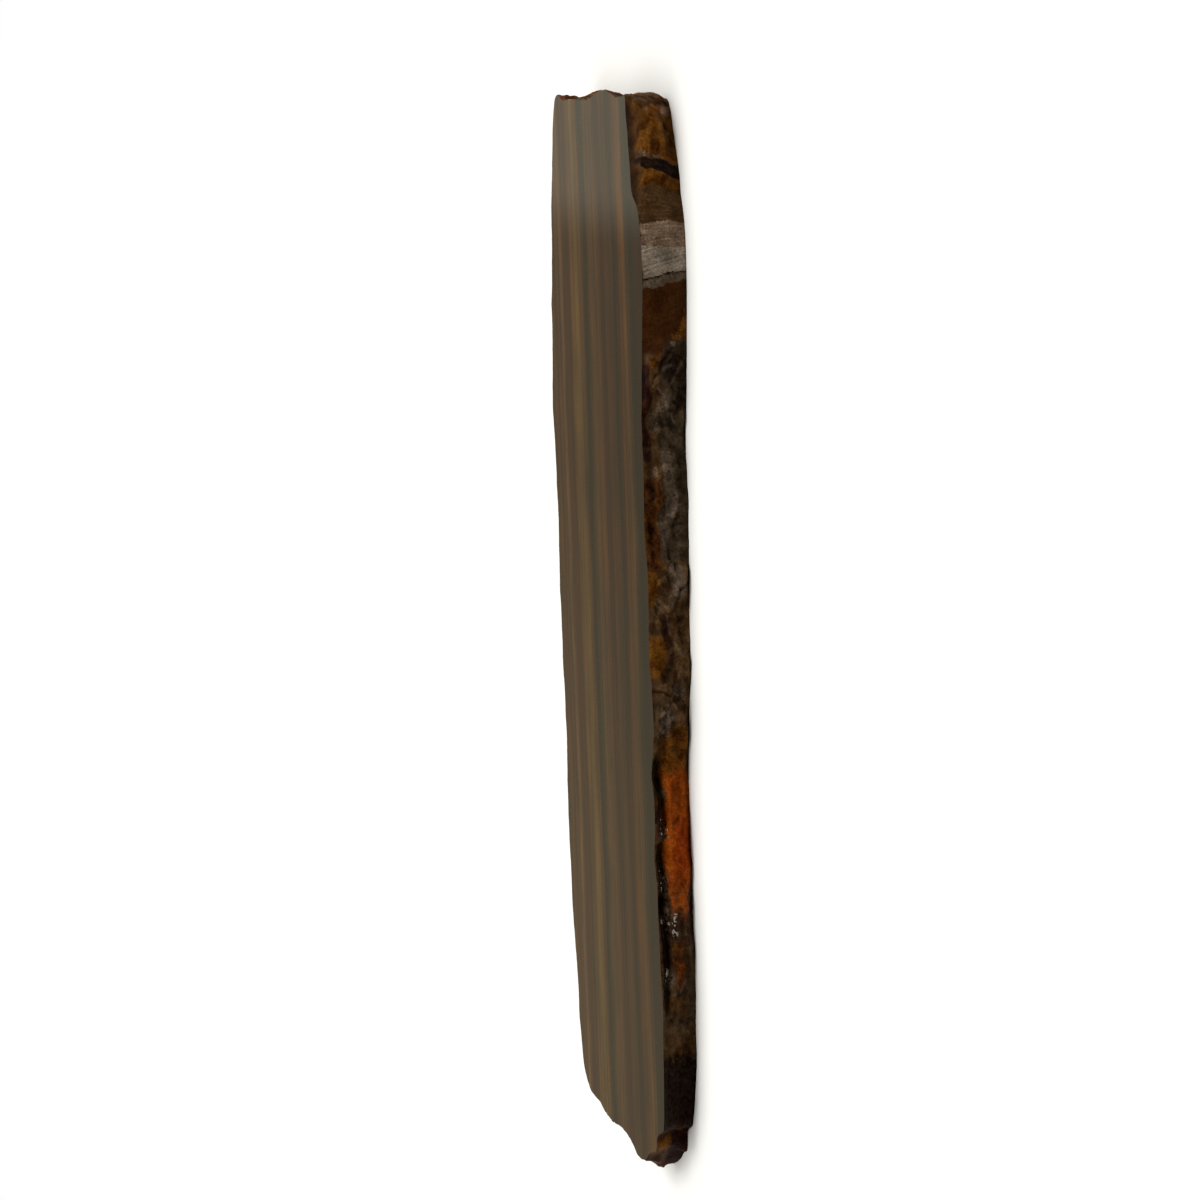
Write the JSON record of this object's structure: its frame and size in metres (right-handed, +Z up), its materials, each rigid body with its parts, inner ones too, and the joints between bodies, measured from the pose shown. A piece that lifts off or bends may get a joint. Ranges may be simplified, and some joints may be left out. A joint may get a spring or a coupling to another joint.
{
  "type": "rough tiger's eye slab",
  "caption": "Thin natural stone slab with lengthwise brown and gold bands: polished flat face, sawn flat back and a rough broken rim.",
  "frame": {"origin": "bottom centre of the bounding box, in the plane of the sawn back", "axes": "+X along the bands towards the thicker end, -Y towards the long side with the deepest broken rim, +Z up out of the polished face"},
  "size_m": [0.2166, 0.085, 0.009],
  "materials": {
    "stone": "Opaque banded quartz: mirror-polished face, dull sawn back, rough broken rim with iron stains"
  },
  "bodies": {
    "root": {"slab": "stone"}
  },
  "joints": []
}
